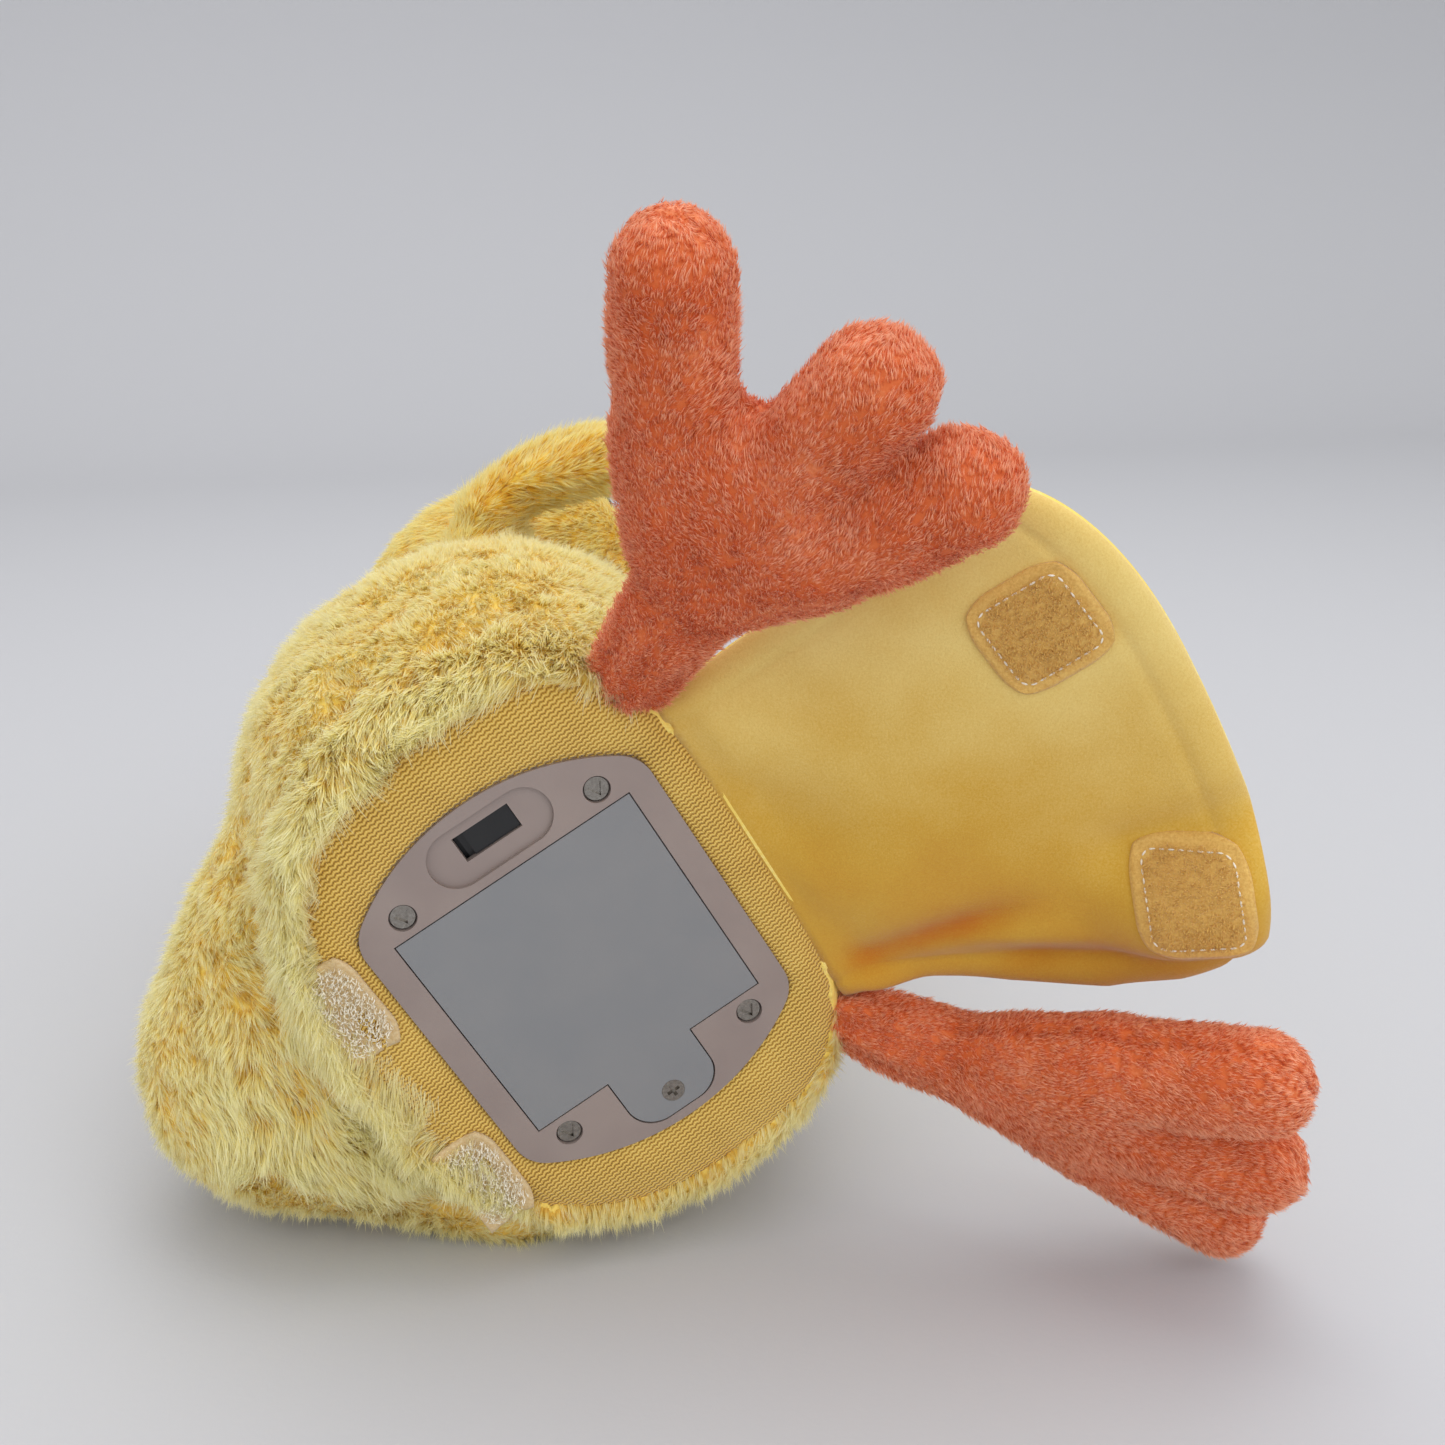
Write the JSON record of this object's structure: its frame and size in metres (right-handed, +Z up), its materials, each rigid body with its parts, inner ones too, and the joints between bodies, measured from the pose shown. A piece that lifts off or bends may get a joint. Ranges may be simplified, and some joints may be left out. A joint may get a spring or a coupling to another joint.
{
  "type": "moving mouth plush duckling",
  "caption": "Stuffed duckling lying on its side: ribbed base with a battery plate, a flap that folds over it, padded feet and wings, and a motor-driven beak.",
  "frame": {"origin": "centre of the bounding box in plan, on the ground that the toy lies on", "axes": "+Y along the toy from its base plate to its head, +X towards its feet and face, +Z up from the ground"},
  "size_m": [0.2534, 0.3592, 0.2344],
  "materials": {
    "cream_plush": "long dimpled pile",
    "yellow_plush": "long pile",
    "orange_plush": "short pile",
    "yellow_felt": "brushed felt",
    "ochre_weave": "ribbed weave",
    "loop_tape": "napped loop",
    "hook_tape": "hooks",
    "white_shell": "moulded satin",
    "grey_door": "moulded satin",
    "black_plastic": "moulded",
    "inner_shell": "moulded",
    "gear_nylon": "moulded",
    "screw_steel": "nickel plated",
    "shaft_steel": "ground",
    "cell_can": "wrapped can",
    "board_green": "solder mask",
    "cone_paper": "pressed paper",
    "eye_black": "polished"
  },
  "bodies": {
    "body": {"torso_plush": "cream_plush", "base_panel": "ochre_weave", "base_plate": "white_shell", "plate_screws": "screw_steel", "switch_body": "black_plastic", "battery_case": "inner_shell", "battery_cells": "cell_can", "battery_contacts": "shaft_steel", "sound_box": "inner_shell", "circuit_board": "board_green", "board_screws": "screw_steel", "speaker_basket": "shaft_steel", "speaker_magnet": "shaft_steel", "speaker_cone": "cone_paper", "neck_post": "inner_shell", "gearbox_left": "inner_shell", "gearbox_right": "inner_shell", "gearbox_screws": "screw_steel", "motor": "shaft_steel", "gear_shaft": "shaft_steel", "jaw_pin": "shaft_steel", "upper_former": "inner_shell", "beak_upper": "orange_plush", "head_plush": "yellow_plush", "head_tuft": "yellow_plush", "eye_left": "eye_black", "eye_right": "eye_black", "eye_washers": "inner_shell", "hook_tab_left": "hook_tape", "hook_tab_right": "hook_tape"},
    "jaw": {"jaw_former": "inner_shell", "beak_lower": "orange_plush"},
    "gear": {"compound_gear": "gear_nylon"},
    "pinion": {"motor_pinion": "gear_nylon"},
    "flap": {"flap_felt": "yellow_felt", "flap_plush": "cream_plush", "loop_patch_left": "loop_tape", "loop_patch_right": "loop_tape"},
    "left_wing": {"wing_left": "yellow_plush"},
    "right_wing": {"wing_right": "yellow_plush"},
    "left_foot": {"foot_left": "orange_plush"},
    "right_foot": {"foot_right": "orange_plush"},
    "switch": {"switch_knob": "black_plastic"},
    "door": {"battery_door": "grey_door"},
    "screw": {"door_screw": "screw_steel"}
  },
  "joints": [
    {"name": "beak_open", "type": "hinge", "parent": "body", "child": "jaw", "pos_m": [0.01264, 0.10261, 0.09753], "axis": [0.512, 0, -0.859], "range_deg": [0, 25]},
    {"name": "gear_turn", "type": "hinge", "parent": "body", "child": "gear", "pos_m": [-0.00454, 0.10261, 0.08729], "axis": [0.512, 0, -0.859], "range_deg": [-105, 5]},
    {"name": "pinion_turn", "type": "hinge", "parent": "body", "child": "pinion", "pos_m": [-0.00454, 0.1141, 0.08729], "axis": [0.512, 0, -0.859], "range_deg": [-5, 365]},
    {"name": "flap_hinge", "type": "hinge", "parent": "body", "child": "flap", "pos_m": [0.01436, -0.1044, 0.09855], "axis": [0.512, 0, -0.859], "range_deg": [-30, 148], "deforming": ["flap_felt", "flap_plush", "loop_patch_left", "loop_patch_right"]},
    {"name": "right_wing_lift", "type": "hinge", "parent": "body", "child": "right_wing", "pos_m": [-0.03644, 0.01361, 0.14802], "axis": [-0.1325, -0.9659, 0.2223], "range_deg": [0, 55]},
    {"name": "left_wing_lift", "type": "hinge", "parent": "body", "child": "left_wing", "pos_m": [0.00279, 0.01361, 0.01191], "axis": [-0.1325, 0.9659, 0.2223], "range_deg": [0, 55]},
    {"name": "right_foot_tilt", "type": "hinge", "parent": "body", "child": "right_foot", "pos_m": [-0.01319, -0.1054, 0.14477], "axis": [0.512, 0, -0.859], "range_deg": [-35, 40]},
    {"name": "left_foot_tilt", "type": "hinge", "parent": "body", "child": "left_foot", "pos_m": [0.0438, -0.1054, 0.04916], "axis": [0.512, 0, -0.859], "range_deg": [-35, 40]},
    {"name": "switch_slide", "type": "slide", "parent": "body", "child": "switch", "axis": [-0.859, 0, -0.512], "range_m": [0, 0.0022]},
    {"name": "door_lift", "type": "slide", "parent": "body", "child": "door", "axis": [0, -1, 0], "range_m": [0, 0.03]},
    {"name": "door_screw_turn", "type": "hinge", "parent": "door", "child": "screw", "pos_m": [-0.00549, -0.1044, 0.04202], "axis": [0, -1, 0], "continuous": true}
  ],
  "couplings": [
    {"joint": "gear_turn", "follows": "beak_open", "ratio": -4},
    {"joint": "pinion_turn", "follows": "beak_open", "ratio": 14.4}
  ]
}
